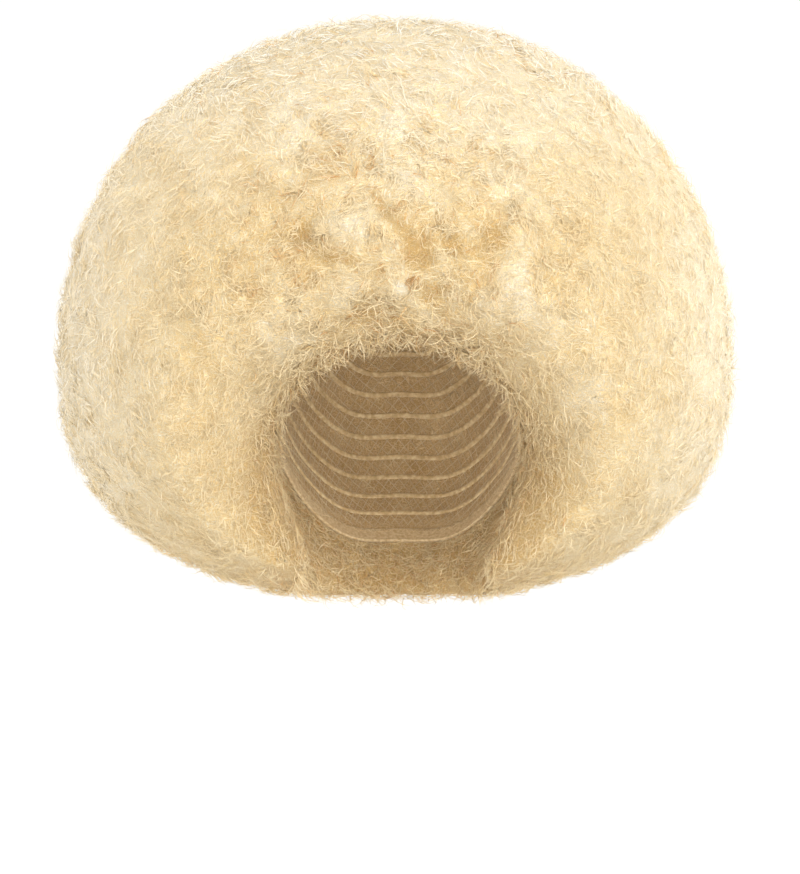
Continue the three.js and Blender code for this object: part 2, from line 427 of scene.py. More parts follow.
def hair_surface(turn, share):
    """Smooth outside of the hair: the ball down to its lip, then the roll."""
    turn, share = np.broadcast_arrays(np.asarray(turn, float), np.asarray(share, float))
    lip_share = 1 - ROLL_SHARE
    ball = ball_point(turn, lip_fall(turn) * np.minimum(share / lip_share, 1))
    roll = roll_point(turn, np.clip((share - lip_share) / ROLL_SHARE, 0, 1))
    return np.where((share <= lip_share)[..., None], ball, roll)


print("lowest hair at the nape:", hair_surface(np.pi, 1.0).round(1), "mm")

# %% [markdown]
# ## The locks
#
# Teased hair stands in soft locks, each a dome that runs into its neighbours. Sculpting could draw
# them, but here they stand in staggered tiers round the swirl, as they do on the coarser solids.

# %% Locks
def scatter(seed):
    """A number from 0 to 1 that looks random: what stands after the point in a large multiple of a
    sine."""
    return np.sin(seed * 12.9898) * 43758.5453 % 1


def place_locks():
    """Centre, radius and height of each lock. Even tiers go from the swirl to the rim, and each has
    as many locks as its length holds, a little off their even places."""
    ring = np.linspace(0, 1, 61)
    run = np.linalg.norm(np.diff(hair_surface(np.pi / 2, ring), axis=0), axis=1).sum()
    tiers = int(run / LOCK_SPACING + 0.5)
    centres, radii, depths = [], [], []
    made = 0
    for tier in range(tiers):
        share = (tier + 0.35) / tiers
        loop = hair_surface(ring * 2 * np.pi, share)
        count = max(1, int(np.linalg.norm(np.diff(loop, axis=0), axis=1).sum() / LOCK_SPACING + 0.5))
        k = np.arange(count)
        seed = made + k + 1.0
        turn = 2 * np.pi * (k + (tier % 2) / 2 + 0.35 * (scatter(seed) - 0.5)) / count
        centres.append(hair_surface(turn, share + 0.3 * (scatter(seed + 0.5) - 0.5) / tiers))
        radii.append(LOCK_RADIUS * (0.9 + 0.25 * scatter(seed + 0.25)))
        depths.append(LOCK_DEPTH * (0.65 + 0.35 * scatter(seed + 0.75)))
        made += count
    return np.concatenate(centres), np.concatenate(radii), np.concatenate(depths)


lock_centres, lock_radii, lock_depths = place_locks()


def lock_height(points):
    """Height of the locks over their backing: each is a dome, 1 less the square of the distance."""
    flat = points.reshape(-1, 3)
    height = np.zeros(len(flat))
    for centre, radius, depth in zip(lock_centres, lock_radii, lock_depths):
        near = np.flatnonzero(np.abs(flat - centre).max(1) < radius)
        distance = np.linalg.norm(flat[near] - centre, axis=1) / radius
        height[near] = np.maximum(height[near], depth * np.maximum(0, 1 - distance ** 2))
    return height.reshape(points.shape[:-1])


print("locks:", len(lock_centres))


# %% [markdown]
# ## Tufts and curls on the locks
#
# Each lock breaks up into tufts the size of a thumb and curls the size of a pea. A bump in the
# material could stand for them, but it would leave the ball's edge smooth. They are a soft random
# field over space, so they carry on from one weft to the next.

# %% A soft random field
def soft_noise(points, size, seed):
    """Random values from -1 to 1 on a cubic lattice, blended between its corners by an S-curve."""
    place = points / size
    cell = np.floor(place).astype(np.int64)
    part = place - cell
    blend = part * part * (3 - 2 * part)
    total = np.zeros(points.shape[:-1])
    for corner in itertools.product((0, 1), repeat=3):
        at = cell + np.array(corner)
        # large odd numbers stir the corner's place and the seed into one key
        key = at[..., 0] * 73856093 ^ at[..., 1] * 19349663 ^ at[..., 2] * 83492791 ^ seed * 2654435761
        key = (key ^ key >> 13) * 1274126177 & 0xFFFFFFFF
        value = (key ^ key >> 16 & 0xFFFF) % 65536 / 32768 - 1
        weight = np.where(np.array(corner) == 1, blend, 1 - blend).prod(-1)
        total += weight * value
    return total


# %% [markdown]
# Over the brow the hair breaks into bright tufts with golden hollows between them. Noise alone
# never puts them in their places, so the main ones are soft bumps listed one by one.

# %% Tufts, curls and the brow
TUFT_SIZE, TUFT_HEIGHT = 24, 0.6
CURL_SIZE, CURL_HEIGHT = 9, 0.5
BROW_WAY = unit(np.array([0, -0.96, 0.28]))  # from the ball's centre to the bulge over the brow
BROW_NEAR, BROW_FAR = 0.95, 0.78             # cosines of the angles where it ends
LOCKS_SHOWN, LOCKS_OVER_BROW = 0.18, 0.42    # shares of their depth, as the curls fill the rest
BROW_ROUGHER = 2.2

# Tufts over the brow, and the hollows between them: sideways and upwards place, radius and height
BROW_TUFTS = [(-35, 13, 24, 4.5), (-32, -22, 20, 5), (10, 34, 24, 2.5), (41, 12, 8, 3),
              (70, 36, 22, 2.5), (68, -27, 28, 4), (0, -24, 7, 3), (34, -22, 8, 3), (16, -40, 9, 3),
              (-69, -46, 26, 4.5), (84, -46, 26, 3), (112, -88, 26, 3), (50, -34, 14, 2.5)]
BROW_HOLLOWS = [(10, -1, 16, -7), (1, 12, 9, -4), (-8, 21, 8, -4), (-13, 29, 8, -4),
                (32, 4, 10, -5), (57, 8, 11, -4), (-42, -3, 9, -4), (-30, -6, 8, -4),
                (-61, 13, 11, -4), (-20, -38, 9, -3), (18, -24, 13, -5)]


def brow_weight(points):
    """1 on the bulge over the brow, falling to 0 round it by an S-curve."""
    t = (unit(points - BALL_CENTRE) @ BROW_WAY - BROW_FAR) / (BROW_NEAR - BROW_FAR)
    t = np.clip(t, 0, 1)
    return t * t * (3 - 2 * t)


def brow_tufts(points):
    """Sum of soft bumps seen from the front: each is its height times (1 - d squared) squared, where
    d is the distance from its middle over its radius."""
    total = np.zeros(points.shape[:-1])
    for aside, high, radius, height in BROW_TUFTS + BROW_HOLLOWS:
        d2 = ((points[..., 0] - aside) ** 2 + (points[..., 2] - high) ** 2) / radius ** 2
        total += height * np.maximum(0, 1 - d2) ** 2
    return np.where(points[..., 1] < 0, total, 0)


def relief(points):
    """Height of tufts and curls, two sizes of the soft field, rougher over the brow."""
    rough = 1 + BROW_ROUGHER * brow_weight(points)
    return brow_tufts(points) + rough * (TUFT_HEIGHT * soft_noise(points, TUFT_SIZE, 3)
                                         + CURL_HEIGHT * soft_noise(points, CURL_SIZE, 5))


def crease_depth(points):
    """How far the locks leave a point under their tops, times the share of them that shows."""
    shown = LOCKS_SHOWN + (LOCKS_OVER_BROW - LOCKS_SHOWN) * brow_weight(points)
    return (LOCK_DEPTH - lock_height(points)) * shown


# %% [markdown]
# ## Painted light, painted shade and dark roots
#
# The hair is painted paler on top, as light from above, and far out at the sides, as a painted glow
# at its edge. Near the head its honey-coloured roots show, under painted shade. Paint could do
# this, but here each point works out a shift of tone from where it lies.

# %% Tone by place, and the mass
ROOT_BAND, WIDER_LOW_DOWN = 18, 62          # how far from the head the roots and their painted shade show
# Painted shade near the head, deeper low down, where the ball shades the hair under it
ROOTS_AND_PAINTED_SHADE, PAINTED_SHADE_LOW_DOWN = 0.3, 0.26
LOW_START, LOW_SPAN = -70, 70               # levels over which it changes to that of the lower hair
# Painted light: paler towards the top and far out at the sides
TOP_START, TOP_SPAN, TOP_PAINTED_LIGHT = 10, 130, 0.34
SIDE_START, SIDE_SPAN, SIDE_PAINTED_GLOW = 130, 80, 0.26


def ramp_up(values, start, span):
    """0 up to a start, then a straight rise to 1 over a span."""
    return np.clip((values - start) / span, 0, 1)


def painted_light_and_roots(points):
    """The larger of two rises, upwards as painted light from above and outwards as a painted glow at
    the edge, less a painted shade that falls away from the head and is deeper and wider low down."""
    above = (head_size(points - HEAD_CENTRE) - 1) * OCCIPUT_REACH
    low_down = ramp_up(-points[..., 2], -LOW_START, LOW_SPAN)
    near_head = ((ROOTS_AND_PAINTED_SHADE + PAINTED_SHADE_LOW_DOWN * low_down)
                 * np.clip(1 - above / (ROOT_BAND + WIDER_LOW_DOWN * low_down), 0, 1))
    high_up = ramp_up(points[..., 2], TOP_START, TOP_SPAN)
    far_aside = ramp_up(np.abs(points[..., 0]), SIDE_START, SIDE_SPAN)
    return np.maximum(TOP_PAINTED_LIGHT * high_up, SIDE_PAINTED_GLOW * far_aside) - near_head


MASS_DEPTH = 3.0  # the mass lies this far under the solids' form, and the curls fill it up
# Painted shade: the mass is darker than the curls, and takes painted light only up to a limit
MASS_SHADE_TONE, MASS_PAINTED_LIGHT_LIMIT = 0.3, 0.2
CREASE_PAINTED_SHADE, RELIEF_PAINTED_SHADE = 0.04, 0.06  # painted shade: change of tone for each millimetre down or up


def mass_surface(turn, share):
    """Outside of the mass: the smooth form moved in towards the cap by creases and depth, and out by
    the relief, with no change at the rim. With its tone, which has painted shade in the creases and
    hollows, painted light on the tufts and the painted light and shade of its place."""
    turn, share = np.broadcast_arrays(np.asarray(turn, float), np.asarray(share, float))
    smooth = hair_surface(turn, share)
    growth = smooth - cap_outside(turn, share)
    length = np.linalg.norm(growth, axis=-1)
    fade = np.clip((length - HAIRLINE) / (3 * LOCK_DEPTH), 0, 1)
    crease = crease_depth(smooth)
    fine = relief(smooth)
    sunk = fade * (crease + MASS_DEPTH - fine)
    shift = np.minimum(painted_light_and_roots(smooth), MASS_PAINTED_LIGHT_LIMIT)
    # Painted shade in creases and hollows, painted light on tufts, and painted light and shade by place
    tone = np.clip(MASS_SHADE_TONE - CREASE_PAINTED_SHADE * crease + RELIEF_PAINTED_SHADE * fine + shift, 0, 1)
    return smooth - sunk[..., None] * growth / length[..., None], tone


print("tufts set by hand:", len(BROW_TUFTS), "and hollows:", len(BROW_HOLLOWS))

# %% [markdown]
# ## The hair's fibre
#
# The fibre is crimped modacrylic, spun thin and left matt, so the shader is rough and pale with a
# sheen for the finest fuzz. Light that bounces between fibres looks golden in the hollows, so a
# tone from 0 to 1 paints that shade into every curl, from honey at its root to nearly white at its
# tip. Blender's hair shader doesn't export, and these strands stand for several fibres each.

# %% Fibre material
FIBRE_WIDTH = 0.7    # real fibre is 0.1 mm; this is the finest streak that the picture shows
FIBRE_LENGTH = 11.0
FIBRE_BEND, BEND_SIZE = 9.0, 14.0
STREAK_LOW, STREAK_HIGH = 0.5, 0.78  # of the noise, between which a streak rises
STREAK_TONE, STREAK_HEIGHT = 0.55, 1.0
# The mass's colours are darker than the curls', as painted shade deep in the hair
SHADED_MASS_COLOURS = [(0.1, "#cda96b"), (0.4, "#ecd4a1"), (0.65, "#f5e6c4"), (1.0, "#fffaec")]
CURL_COLOURS = [(0.0, "#dba96c"), (0.35, "#f2daa5"), (0.65, "#fbecca"), (1.0, "#fffdf4")]


def fibre_pattern(tree):
    """Streaks: noise drawn out along an axis, over a place that a slower noise bends. The highest of
    the three axes' layers wins."""
    place = add_node(tree, "TexCoord").outputs["Object"]
    bend = add_noise(tree, place, BEND_SIZE * MM, 2)["Color"]
    bent = add_node(tree, "VectorMath", {0: bend, 1: (FIBRE_BEND * MM,) * 3, 2: place},
                    operation="MULTIPLY_ADD")
    highest = None
    for axis in range(3):
        scale = np.full(3, 1 / (FIBRE_WIDTH * MM))
        scale[axis] = 1 / (FIBRE_LENGTH * MM)
        drawn = add_node(tree, "VectorMath", {0: bent.outputs["Vector"], 1: tuple(scale)},
                         operation="MULTIPLY")
        layer = add_noise(tree, drawn.outputs["Vector"], 1, 1)["Fac"]
        if highest is not None:
            layer = add_node(tree, "Math", {0: highest, 1: layer},
                             operation="MAXIMUM").outputs["Value"]
        highest = layer
    return add_node(tree, "MapRange", {"Value": highest, "From Min": STREAK_LOW,
                                       "From Max": STREAK_HIGH}).outputs["Result"]


def fibre_material(name, colours, streaked, sheen=0.3, roughness=0.6):
    """Plastic fibre, no metal: its colour follows the tone, raised where a streak stands up."""
    material, tree, shader = new_material(name, {
        "Roughness": roughness, "Specular IOR Level": 0.5, "Sheen Weight": sheen,
        "Sheen Roughness": 0.4, "Sheen Tint": linear("#fff6e4")})
    tone = add_node(tree, "Attribute", attribute_name="tone").outputs["Fac"]
    if streaked:
        streaks = fibre_pattern(tree)
        tone = add_node(tree, "Math", {0: streaks, 1: STREAK_TONE, 2: tone},
                        operation="MULTIPLY_ADD").outputs["Value"]
        add_bump(tree, shader, streaks, 0.9, STREAK_HEIGHT)
    tree.links.new(add_ramp(tree, tone, colours), shader.inputs["Base Color"])
    return material


# Fibres pressed together behind the curls: matt, and darker as painted shade deep in the hair,
# so that the curls read
shaded_mass_fibre = fibre_material("teased modacrylic mass in painted shade", SHADED_MASS_COLOURS, streaked=True)
# Single fibres that stand free: smoother, so that they draw fine pale glints
curl_fibre = fibre_material("crimped modacrylic curls", CURL_COLOURS, streaked=False, sheen=0.1,
                            roughness=0.42)
print("fibre materials:", shaded_mass_fibre.name, "and", curl_fibre.name)

# %% [markdown]
# ## The mass of each weft
#
# Each weft of hair is a closed loop: its outside follows the ball, and two walls lead back to the
# seams on the cap. Real hair is loose all through, but only its outer centimetre is ever seen, so
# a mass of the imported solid's form, with the tufts and curls in full fineness, fills the rest.

# %% Masses of hair
MASS_COLUMNS = 300
MASS_PITCH = 4.1
ROLL_LONGER = 1.25  # the roll is longer than the straight way across it
WALL_TONE = 0.1
EDGE_HOLD = 0.5  # a row this close to a sharp edge keeps the smooth shading from rounding it
MASS_GAP = 0.1   # wefts of soft hair close up to a hair's breadth


def parting_at(count):
    """Share of the hair's outside at which a weft ends: even steps down to the last weft."""
    return 1.0 if count == WEFTS else count / (WEFTS - 1) * (1 - LAST_WEFT_SHARE)


def seam_at(count):
    """Share of the cap at which a weft's seam runs, in even steps."""
    return count / WEFTS


def weft_levels(surface, level_at, number, turn):
    """Upper and lower level of a weft on a surface, half a gap in from its neighbours."""
    upper = np.full_like(turn, level_at(number - 1))
    lower = np.full_like(turn, level_at(number))
    if number > 1:
        upper = upper + width_share(surface, turn, upper, MASS_GAP / 2)
    if number < WEFTS:
        lower = lower - width_share(surface, turn, lower, MASS_GAP / 2)
    return upper, lower


def outside_grid(number):
    """Points of a weft's outside, with their tone: rows at an even pitch, and one more close to each
    edge."""
    turn = even_turns(MASS_COLUMNS)
    upper, lower = weft_levels(hair_surface, parting_at, number, turn)
    run = np.linalg.norm(hair_surface(turn, lower) - hair_surface(turn, upper), axis=-1).max()
    if number == WEFTS:
        run *= ROLL_LONGER
    edge = EDGE_HOLD / run
    t = np.concatenate([[0, edge], np.linspace(0, 1, int(run / MASS_PITCH))[1:-1], [1 - edge, 1]])
    t = t[:, None]
    return mass_surface(turn[None, :], upper + (lower - upper) * t)


def inside_points(number):
    """Points of a weft's inside, from its lower to its upper seam on the cap. Hair on the last seam
    stands out as a shoulder before it falls."""
    turn = even_turns(MASS_COLUMNS)
    upper, lower = weft_levels(cap_outside, seam_at, number, turn)
    root = CAP_WALL + CLEARANCE
    levels = [(lower, root), ((lower + upper) / 2, root), (upper, root)]
    if number == WEFTS - 1:
        levels.insert(0, (lower, root + SHOULDER))
    if number == WEFTS:
        levels.append((upper, root + SHOULDER))
    return np.stack([cap_surface(turn, share, offset) for share, offset in levels])


def make_mass(number):
    """The outside and the inside of a weft joined to one closed skin. Gives the outside's grid."""
    outside, high = outside_grid(number)
    inside = inside_points(number)
    if number == 1:
        outside[0] = outside[0].mean(0)
        inside[-1] = inside[-1].mean(0)
    points = np.concatenate([outside, inside])
    tone = np.concatenate([high, np.full(inside.shape[:2], WALL_TONE)])
    faces = grid_faces(len(points), MASS_COLUMNS, closed_rows=number > 1)
    piece = put_mesh(f"hair_mass_{number}", points.reshape(-1, 3), faces, shaded_mass_fibre, tone.ravel())
    if number == 1:
        weld_poles(piece)
    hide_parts(f"weft_{number}")
    return outside


def weld_poles(piece):
    """Merges the points that lie on each other at the two poles."""
    body = bmesh.new()
    body.from_mesh(piece.data)
    bmesh.ops.remove_doubles(body, verts=body.verts, dist=1e-6)
    bmesh.ops.dissolve_degenerate(body, edges=body.edges, dist=1e-7)
    body.to_mesh(piece.data)
    body.free()


masses = {number: make_mass(number) for number in range(1, WEFTS + 1)}

# %% [markdown]
# ## Curls and frizz
#
# A wig has a hundred thousand fibres, which blur together at this distance. Each curl here stands
# for a few: a closed strand with three sides and two pointed ends, about half a millimetre thick,
# so that it shows. It rises from the mass, bends over and curves aside. Short ones make the frizz,
# and bundles of longer ones read as waves. Blender's own hair is quicker to lay, but isn't a mesh.

# %% How strands grow
STRAND_SIDES = 3
SWAYS = 1.5        # waves along a strand
SWING_START = 0.3  # place along a strand where its heading is that of the hair around it


def grow_paths(base, normal, ahead, length, rise, bend, swing, wave, steps):
    """Points along each strand. Its angle to the surface falls from rise by bend, and its heading
    turns by swing and sways by wave."""
    side = np.cross(normal, ahead)
    phase = rng.uniform(0, 2 * np.pi, len(base))
    points = [base]
    for i in range(steps):
        t = (i + 0.5) / steps
        lift = (rise - bend * t)[:, None]
        sway = np.sin(2 * np.pi * SWAYS * t + phase)
        heading = (swing * (t - SWING_START) + wave * sway)[:, None]
        way = (np.cos(lift) * (np.cos(heading) * ahead + np.sin(heading) * side)
               + np.sin(lift) * normal)
        points.append(points[-1] + way * (length / steps)[:, None])
    return np.stack(points, 1)


def strand_mesh(paths, thickness, tip_share):
    """Closed tubes round paths, drawn to a point at both ends. The thickness falls to a share of
    itself at the tip. Gives points, faces and each point's place along its strand."""
    count, knots, _ = paths.shape
    rings = knots - 2
    along = unit(paths[:, 2:] - paths[:, :-2])
    up = unit(np.cross(along, unit(rng.normal(size=(count, 1, 3)))))
    aside = np.cross(along, up)
    angle = even_turns(STRAND_SIDES)
    radius = thickness[:, None] / 2 * np.linspace(1, tip_share, rings)
    circle = np.cos(angle)[:, None] * up[:, :, None] + np.sin(angle)[:, None] * aside[:, :, None]
    tube = paths[:, 1:-1, None] + radius[:, :, None, None] * circle
    points = np.concatenate([paths[:, :1], tube.reshape(count, -1, 3), paths[:, -1:]], 1)
    place = np.concatenate([[0], np.repeat(np.linspace(0, 1, knots)[1:-1], STRAND_SIDES), [1]])
    a = np.arange(STRAND_SIDES)
    b = (a + 1) % STRAND_SIDES
    tip = 1 + rings * STRAND_SIDES
    faces = [np.stack([np.zeros_like(a), 1 + b, 1 + a], -1),
             np.stack([tip - STRAND_SIDES + a, tip - STRAND_SIDES + b, np.full_like(a, tip)], -1)]
    for low in range(1, tip - STRAND_SIDES, STRAND_SIDES):
        high = low + STRAND_SIDES
        faces.append(np.stack([low + a, low + b, high + b], -1))
        faces.append(np.stack([low + a, high + b, high + a], -1))
    offsets = np.arange(count)[:, None, None] * (tip + 1)
    return points.reshape(-1, 3), (np.concatenate(faces) + offsets).reshape(-1, 3), np.tile(place, count)


# %% [markdown]
# A strand has to stand somewhere and lie some way. Places are drawn evenly over each weft, and
# neighbours agree on where they head, because teased hair still clumps.

# %% Where strands stand
def sample_outside(outside, count):
    """Points spread evenly over a grid surface, with the normal and the way down at each. Cells are
    drawn by area, and a place in the cell at random."""
    right = np.roll(outside, -1, 1)
    p00, p10 = outside[:-1], outside[1:]
    p01, p11 = right[:-1], right[1:]
    area = np.linalg.norm(np.cross(p10 - p01, p11 - p00), axis=-1) / 2
    cell = rng.choice(area.size, count, p=(area / area.sum()).ravel())
    u, v = rng.random((2, count, 1))
    q00, q10, q01, q11 = (q.reshape(-1, 3)[cell] for q in (p00, p10, p01, p11))
    base = (q00 * (1 - u) + q10 * u) * (1 - v) + (q01 * (1 - u) + q11 * u) * v
    down = unit((q10 - q00) * (1 - v) + (q11 - q01) * v)
    normal = unit(np.cross(q10 - q00 + q11 - q01, q01 - q00 + q11 - q10))
    return base, normal, unit(down - normal * (down * normal).sum(-1, keepdims=True)), area.sum()


def turned(vectors, axes, angle):
    """Vectors turned about axes that are square to them: cosine of the angle along the vector, and
    sine along the cross product."""
    angle = angle[:, None]
    return np.cos(angle) * vectors + np.sin(angle) * np.cross(axes, vectors)


SLOW_LAY, SLOW_TURN = 42, 1.6  # size in mm of a patch of hair that agrees, and half turns it makes
QUICK_LAY, QUICK_TURN = 15, 0.9


def lay_of_hair(points):
    """Heading of the hair on the surface: the sum of two sizes of the soft field, as an angle."""
    return np.pi * (SLOW_TURN * soft_noise(points, SLOW_LAY, 11)
                    + QUICK_TURN * soft_noise(points, QUICK_LAY, 12))


# Roots darker than tips: painted shade of the hollows deep in the hair
ROOT_TONE, TIP_RISE = 0.4, 0.3
PATCH_SIZE, PATCH_TONE = 34, 0.06
SHIFT_TAKEN = 0.55                     # curls take less of the painted light and shade by place than the mass behind them
CURL_CREASE_SHADE, CURL_RELIEF_SHADE = 0.035, 0.06  # painted shade: change of tone for each millimetre down or up
# Painted light on top also raises the limit of a strand's paleness
PALEST_IN_FRONT, PAINTED_LIGHT_RAISES_LIMIT = 0.55, 1.4


def tone_of_hair(base, count_per_strand, place, own):
    """Tone of each point: honey at the root, rising to cream at the tip, as painted shade deep in the
    hair, plus patches, painted light and shade by place, painted shade in creases and hollows with
    painted light on tufts, and the strand's own lightness with its painted glints, up to a limit for
    its place that painted light raises."""
    shift = painted_light_and_roots(base)
    patch = (PATCH_TONE * soft_noise(base, PATCH_SIZE, 21) + SHIFT_TAKEN * shift
             - CURL_CREASE_SHADE * crease_depth(base) + CURL_RELIEF_SHADE * relief(base) + own)
    limit = np.repeat(PALEST_IN_FRONT + PAINTED_LIGHT_RAISES_LIMIT * np.maximum(shift, 0), count_per_strand)
    return np.clip(ROOT_TONE + np.repeat(patch, count_per_strand) + TIP_RISE * place, 0, limit)


print("strands have", STRAND_SIDES, "sides and lie in patches of", SLOW_LAY, "and", QUICK_LAY, "mm")


# %% [markdown]
# The frizz reads as the fluff of the ball. Most of it follows the lay of the hair, the rest lies at
# random, and a few strands fly away, painted paler as light glowing through them. One in four is
# a painted glint: paler and thicker.

# %% Frizz
FRIZZ_PER_CM2 = 9.0
SINK = 1.0  # strands start this far inside the mass
# Painted glints: a share of the strands drawn paler, as if they caught the light
GLINT_SHARE, GLINT_PALER = 0.24, 0.4
THICKER = 1.45  # the pale strands' thickness over that of the others
LIGHTNESS_SPREAD = 0.09
BROW_GLINT_CONTRAST, TOP_GLINT_CONTRAST = 1.6, 1.8
# Flyaways are painted paler, as light glowing through them at the edge
WILD_SHARE, FLYAWAY_SHARE, FLYAWAY_PAINTED_GLOW = 0.25, 0.08, 0.25
FRIZZ_LENGTH, FLYAWAY_LENGTH = (9, 19), (6, 12)
FRIZZ_THICKNESS = 0.34, 0.48
TIP_SHARE = 0.5


def glints_and_own_lightness(count):
    """Some strands much paler than the rest, as painted glints, and all a little different by a normal
    draw.
    """
    paler = np.where(rng.random(count) < GLINT_SHARE, GLINT_PALER, 0)
    return paler + rng.normal(0, LIGHTNESS_SPREAD, count)


def glint_contrast_at(points):
    """How much strands differ in lightness, so how bright the painted glints are: 1, and more over the
    brow and up towards the top.
    """
    return (1 + BROW_GLINT_CONTRAST * brow_weight(points)
            + TOP_GLINT_CONTRAST * ramp_up(points[..., 2], TOP_START, 100))


def make_frizz(outside):
    """Short strands drawn by area: a flyaway stands up, any other rises a little and bends back to
    the surface. Angles are in radians."""
    count = int(sample_outside(outside, 1)[3] / 100 * FRIZZ_PER_CM2)
    base, normal, down, _ = sample_outside(outside, count)
    wild = rng.random(count) < WILD_SHARE
    heading = np.where(wild, rng.uniform(0, 2 * np.pi, count),
                       lay_of_hair(base) + rng.normal(0, 0.4, count))
    ahead = turned(down, normal, heading)
    flyaway = rng.random(count) < FLYAWAY_SHARE
    length = np.where(flyaway, rng.uniform(*FLYAWAY_LENGTH, count),
                      rng.uniform(*FRIZZ_LENGTH, count))
    rise = np.where(flyaway, rng.uniform(0.7, 1.2, count), rng.uniform(0.3, 0.85, count))
    bend = np.where(flyaway, rng.uniform(0.8, 1.8, count), rise + rng.uniform(-0.1, 0.4, count))
    swing = rng.normal(0, 1.7, count)
    paths = grow_paths(base - SINK * normal, normal, ahead, length, rise, bend, swing,
                       np.zeros(count), 3)
    own = glints_and_own_lightness(count)
    thickness = rng.uniform(*FRIZZ_THICKNESS, count) * np.where(own > GLINT_PALER / 2, THICKER, 1)
    points, faces, place = strand_mesh(paths, thickness, TIP_SHARE)
    # Painted glints, spread more over the brow and the top, and a painted glow on flyaways
    own = own * glint_contrast_at(base) + FLYAWAY_PAINTED_GLOW * flyaway
    return points, faces, tone_of_hair(base, len(points) // count, place, own)


# %% [markdown]
# Crimped fibre off one weft bends alike, so over the brow it runs in small waves. Round each
# scattered leader a dozen strands take the same path, a little shorter or longer, and share its
# lightness, so that the bundle reads as one curl. Over the brow that lightness is a painted
# highlight or painted shade.

# %% Waves
WAVES_PER_CM2 = 0.62
BARE_SHARE = 0.08  # how many of the waves are kept away from the brow
STRANDS_PER_WAVE = 12
WAVE_LENGTH, LENGTH_SHARES = (12, 24), (0.75, 1.15)
WAVE_THICKNESS = 0.4, 0.6
BUNDLE_WIDTH = 0.9, 2.2
# Painted highlights and painted shade of the bundles; off the brow only the highlights
BUNDLE_LIGHT_AND_SHADE = -0.24, 0.34
TONE_SPREAD, CALM_SHARE = 0.2, 0.3  # off the brow the spread is this share, and no bundle is dark


def make_waves(outside):
    """Bundles of strands, each at the leader's place plus a normal draw, with the leader's rise,
    bend, swing and wave plus a small draw of its own."""
    leaders = int(sample_outside(outside, 1)[3] / 100 * WAVES_PER_CM2)
    base, normal, down, _ = sample_outside(outside, leaders)
    keep = rng.random(leaders) < BARE_SHARE + (1 - BARE_SHARE) * brow_weight(base)
    base, normal, down = base[keep], normal[keep], down[keep]
    leaders = len(base)
    ahead = turned(down, normal, lay_of_hair(base) + rng.normal(0, 0.5, leaders))

    def follow(values):
        """The leader's value for each strand of its bundle."""
        return np.repeat(values, STRANDS_PER_WAVE, axis=0)

    count = leaders * STRANDS_PER_WAVE
    side = np.cross(normal, ahead)
    spread = rng.uniform(*BUNDLE_WIDTH, (leaders, 1))
    offset = (follow(side * spread) * rng.normal(0, 0.6, (count, 1))
              + follow(ahead) * rng.normal(0, 1.2, (count, 1))
              + follow(normal) * rng.uniform(-0.8, 0.6, (count, 1)))
    length = follow(rng.uniform(*WAVE_LENGTH, leaders)) * rng.uniform(*LENGTH_SHARES, count)
    rise = follow(rng.uniform(0.3, 0.7, leaders)) + rng.normal(0, 0.05, count)
    bend = rise + follow(rng.uniform(0.2, 0.9, leaders))
    swing = follow(rng.normal(0, 2.8, leaders)) + rng.normal(0, 0.1, count)
    wave = follow(rng.uniform(0.4, 1.3, leaders))
    paths = grow_paths(follow(base - SINK * normal) + offset, follow(normal), follow(ahead), length,
                       rise, bend, swing, wave, 6)
    points, faces, place = strand_mesh(paths, rng.uniform(*WAVE_THICKNESS, count), TIP_SHARE)
    weight = brow_weight(base)
    # Painted highlight or painted shade for each bundle, the shade only over the brow
    bundle = rng.uniform(*BUNDLE_LIGHT_AND_SHADE, leaders)
    own = follow(np.where(bundle < 0, bundle * weight, bundle))
    own = own + rng.normal(0, TONE_SPREAD, count) * follow(CALM_SHARE + (1 - CALM_SHARE) * weight)
    return points, faces, tone_of_hair(follow(base), len(points) // count, place, own)


# %% [markdown]
# Along the rim single curls fall across the edge of the cap and hide its elastic. Some root on the
# cap's own edge and most on the roll behind it, closer together towards the rim.

# %% Curls over the hairline
HAIRLINE_CURLS = 4400
RIM_CURLS = 1400       # of them, those that root on the edge of the cap itself
EDGE_DEPTH, EDGE_LIFT = 0.02, 2.0
HAIRLINE_DEPTH = 0.16  # share of the hair, from the rim, that the others root in
ROOTS_TO_RIM = 1.7     # a power over 1 crowds them towards the rim
HAIRLINE_LENGTH, HAIRLINE_THICKNESS = (9, 20), (0.4, 0.65)
# Hairline curls are a little paler, and their painted glints spread twice as far
HAIRLINE_PALER, HAIRLINE_GLINT_CONTRAST = 0.15, 2


